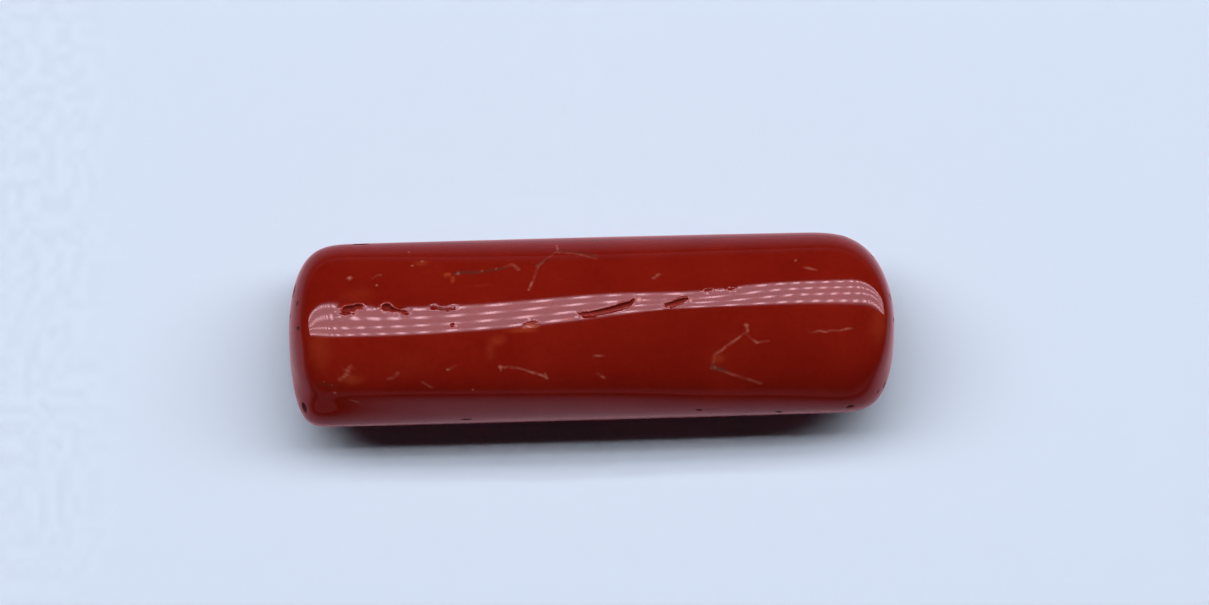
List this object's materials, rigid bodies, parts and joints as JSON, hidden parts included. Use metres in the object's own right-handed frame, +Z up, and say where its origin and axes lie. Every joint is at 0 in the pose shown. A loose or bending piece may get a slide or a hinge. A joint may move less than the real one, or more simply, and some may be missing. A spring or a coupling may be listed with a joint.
{
  "type": "polished red coral rod",
  "caption": "Polished red coral rod with rounded ends and a few natural pits, oval in section, lying on a narrow flat along its flatter underside.",
  "frame": {"origin": "on the flat underside, below the middle of the rod's bounding box", "axes": "+X along the rod, towards its more tapered end; +Y across it, away from the camera; +Z up, from the flat to the back"},
  "size_m": [0.02, 0.0061, 0.0048],
  "materials": {
    "polished_coral": "polished, deep ox-blood red with a glassy gloss"
  },
  "bodies": {
    "root": {"coral_rod": "polished_coral"}
  },
  "joints": []
}
